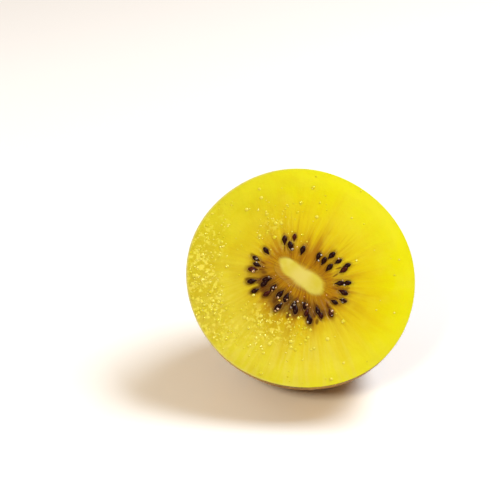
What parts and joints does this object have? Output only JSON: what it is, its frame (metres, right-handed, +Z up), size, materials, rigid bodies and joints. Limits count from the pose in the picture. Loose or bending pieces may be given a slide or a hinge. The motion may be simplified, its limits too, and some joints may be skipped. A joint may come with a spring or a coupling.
{
  "type": "golden kiwi fruit half",
  "caption": "Half of an oval golden kiwi fruit lying on its skin, its cut face of gold flesh, pale core and ringed dark seeds turned up and forward.",
  "frame": {"origin": "middle of the small flat spot on the skin that the half fruit rests on", "axes": "+Z up from the surface it rests on, -Y towards the side that the cut face is turned to, +X to the right as seen facing the cut"},
  "size_m": [0.0545, 0.0501, 0.0508],
  "materials": {
    "skin": "matte",
    "flesh": "satin",
    "core": "satin",
    "seed": "gloss"
  },
  "bodies": {
    "root": {"skin": "skin", "flesh": "flesh", "core": "core"}
  },
  "joints": []
}
